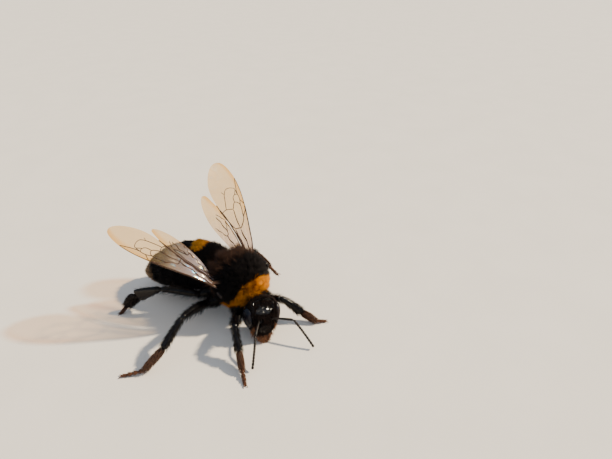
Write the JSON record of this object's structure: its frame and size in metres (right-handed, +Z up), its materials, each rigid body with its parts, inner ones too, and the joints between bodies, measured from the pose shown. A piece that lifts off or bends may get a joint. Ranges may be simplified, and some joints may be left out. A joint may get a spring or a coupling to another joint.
{
  "type": "bumblebee",
  "caption": "Life-size still bumblebee queen standing on five feet, one middle leg lifted, wings half raised, for natural history display.",
  "frame": {"origin": "on the floor under the middle of the bee's bounding box", "axes": "+Z up from the floor, -Y the way the thorax faces, +X the bee's left; the abdomen is turned about 30 degrees to the bee's right and the head about 15 degrees"},
  "size_m": [0.0258, 0.0274, 0.0185],
  "materials": {
    "coat_black": "black body hair, dark brown where light comes through",
    "coat_collar": "orange-yellow hair",
    "coat_tail": "buff tail hair",
    "shell_black": "polished black body shell",
    "shell_red": "reddish-brown shell of the feet and jaws",
    "eye": "smooth black compound eye",
    "wing": "clear amber wing membrane with brown veins"
  },
  "bodies": {
    "root": {"thorax": "coat_black", "waist": "shell_black", "abdomen_1": "coat_black", "abdomen_2": "coat_collar", "abdomen_3": "coat_black", "abdomen_4": "coat_black", "abdomen_5": "coat_tail", "abdomen_6": "coat_tail", "head": "coat_black", "eye_left": "eye", "mandible_left": "shell_red", "scape_left": "shell_black", "flagellum_left": "shell_black", "tegula_left": "shell_black", "forewing_left": "wing", "hindwing_left": "wing", "eye_right": "eye", "mandible_right": "shell_red", "scape_right": "shell_black", "flagellum_right": "shell_black", "tegula_right": "shell_black", "forewing_right": "wing", "hindwing_right": "wing", "coxa_front_left": "shell_black", "femur_front_left": "shell_black", "tibia_front_left": "shell_black", "metatarsus_front_left": "shell_black", "tarsus_front_left": "shell_red", "coxa_front_right": "shell_black", "femur_front_right": "shell_black", "tibia_front_right": "shell_black", "metatarsus_front_right": "shell_black", "tarsus_front_right": "shell_red", "coxa_middle_left": "shell_black", "femur_middle_left": "shell_black", "tibia_middle_left": "shell_black", "metatarsus_middle_left": "shell_black", "tarsus_middle_left": "shell_red", "coxa_middle_right": "shell_black", "femur_middle_right": "shell_black", "tibia_middle_right": "shell_black", "metatarsus_middle_right": "shell_black", "tarsus_middle_right": "shell_red", "coxa_hind_left": "shell_black", "femur_hind_left": "shell_black", "tibia_hind_left": "shell_black", "metatarsus_hind_left": "shell_black", "tarsus_hind_left": "shell_red", "coxa_hind_right": "shell_black", "femur_hind_right": "shell_black", "tibia_hind_right": "shell_black", "metatarsus_hind_right": "shell_black", "tarsus_hind_right": "shell_red"}
  },
  "joints": []
}
